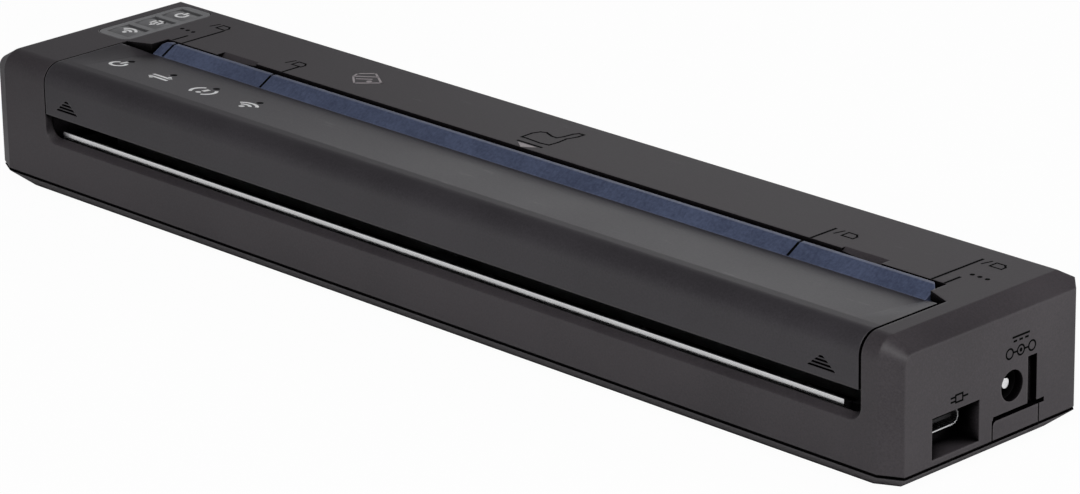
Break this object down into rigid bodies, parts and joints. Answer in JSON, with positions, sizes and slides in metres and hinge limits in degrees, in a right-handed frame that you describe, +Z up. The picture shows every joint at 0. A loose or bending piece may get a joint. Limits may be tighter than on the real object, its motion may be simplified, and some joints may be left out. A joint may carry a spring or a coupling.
{
  "type": "a4 portable thermal printer",
  "caption": "Slim bar-shaped thermal printer with a hinged release cover, a feed slot along the top, a paper exit with tear bar in front, push buttons, sockets and a battery door.",
  "frame": {"origin": "centre of the overall box, on the plane that the feet stand on", "axes": "+X along the printer towards the end with the sockets, +Y to the rear, +Z up"},
  "size_m": [0.255, 0.055, 0.03],
  "materials": {
    "case_plastic": "fine texture",
    "cover_plastic": "fine texture",
    "guide_blue": "satin",
    "panel_grey": "satin",
    "key_grey": "satin",
    "frame_plastic": "moulded",
    "gear_plastic": "satin",
    "roller_rubber": "matt",
    "foot_rubber": "matt",
    "steel": "bright",
    "screw_steel": "blackened",
    "pin_brass": "bright",
    "pin_nickel": "bright",
    "heat_sink": "brushed",
    "ceramic": "glazed",
    "circuit_board": "solder mask",
    "chip_black": "moulded",
    "lamp_clear": "clear",
    "lamp_body": "moulded",
    "battery_wrap": "shrink wrap",
    "flex_film": "film"
  },
  "bodies": {
    "body": {"upper_case": "case_plastic", "lower_case": "case_plastic", "button_panel": "panel_grey", "button_board": "circuit_board", "button_switches": "frame_plastic", "port_board": "circuit_board", "usb_port": "steel", "usb_tongue": "frame_plastic", "dc_jack": "frame_plastic", "dc_jack_pin": "pin_nickel", "main_board": "circuit_board", "board_components": "chip_black", "battery_pack": "battery_wrap", "battery_contacts": "frame_plastic", "inner_frame": "frame_plastic", "rear_paper_guide": "frame_plastic", "tear_bar": "steel", "head_plate_spring": "steel", "head_pivot_shaft": "steel", "gear_plate": "steel", "gear_post": "steel", "motor_can": "steel", "hinge_pins": "steel", "paper_sensor": "frame_plastic", "case_screws": "screw_steel", "rubber_feet": "foot_rubber", "head_flex_cable": "flex_film"},
    "cover": {"release_cover": "cover_plastic", "paper_guide_strip": "guide_blue", "cover_frame": "frame_plastic", "platen_bushes": "frame_plastic", "indicator_lenses": "lamp_clear", "indicator_board": "circuit_board", "indicator_lamps": "lamp_body"},
    "platen": {"platen_shaft": "steel", "platen_rubber": "roller_rubber", "platen_gear": "gear_plastic"},
    "idler": {"idler_gear": "gear_plastic"},
    "motor_rotor": {"motor_pinion": "pin_brass"},
    "print_head": {"thermal_head": "ceramic", "head_heat_sink": "heat_sink", "head_driver_cover": "frame_plastic"},
    "door": {"battery_door": "case_plastic"},
    "wireless_key": {"wireless_button": "key_grey"},
    "feed_key": {"feed_button": "key_grey"},
    "power_key": {"power_button": "key_grey"}
  },
  "joints": [
    {"name": "cover_hinge", "type": "hinge", "parent": "body", "child": "cover", "pos_m": [0.0045, -0.0236, 0.0214], "axis": [1, 0, 0], "range_deg": [0, 62]},
    {"name": "platen_spin", "type": "hinge", "parent": "cover", "child": "platen", "pos_m": [0.0045, -0.01, 0.02], "axis": [1, 0, 0], "continuous": true},
    {"name": "idler_spin", "type": "hinge", "parent": "body", "child": "idler", "pos_m": [-0.1069, -0.00397, 0.01196], "axis": [1, 0, 0], "continuous": true},
    {"name": "motor_spin", "type": "hinge", "parent": "body", "child": "motor_rotor", "pos_m": [-0.109, 0.00758, 0.01196], "axis": [1, 0, 0], "continuous": true},
    {"name": "head_pivot", "type": "hinge", "parent": "body", "child": "print_head", "pos_m": [0.0045, -0.0016, 0.0096], "axis": [1, 0, 0], "range_deg": [0, 3], "stiffness_Nm_per_rad": 2, "springref_deg": -2.86, "deforming": ["head_plate_spring", "head_flex_cable"]},
    {"name": "door_hinge", "type": "hinge", "parent": "body", "child": "door", "pos_m": [-0.09915, 0.012, 0.0005], "axis": [0, 1, 0], "range_deg": [0, 45]},
    {"name": "wireless_press", "type": "slide", "parent": "body", "child": "wireless_key", "axis": [0, 0, -1], "range_m": [0, 0.00045], "stiffness_N_per_m": 300, "springref_m": -0.0001},
    {"name": "feed_press", "type": "slide", "parent": "body", "child": "feed_key", "axis": [0, 0, -1], "range_m": [0, 0.00045], "stiffness_N_per_m": 300, "springref_m": -0.0001},
    {"name": "power_press", "type": "slide", "parent": "body", "child": "power_key", "axis": [0, 0, -1], "range_m": [0, 0.00045], "stiffness_N_per_m": 300, "springref_m": -0.0001}
  ],
  "couplings": [
    {"joint": "idler_spin", "follows": "platen_spin", "ratio": -1.5},
    {"joint": "motor_spin", "follows": "platen_spin", "ratio": 4.25}
  ]
}
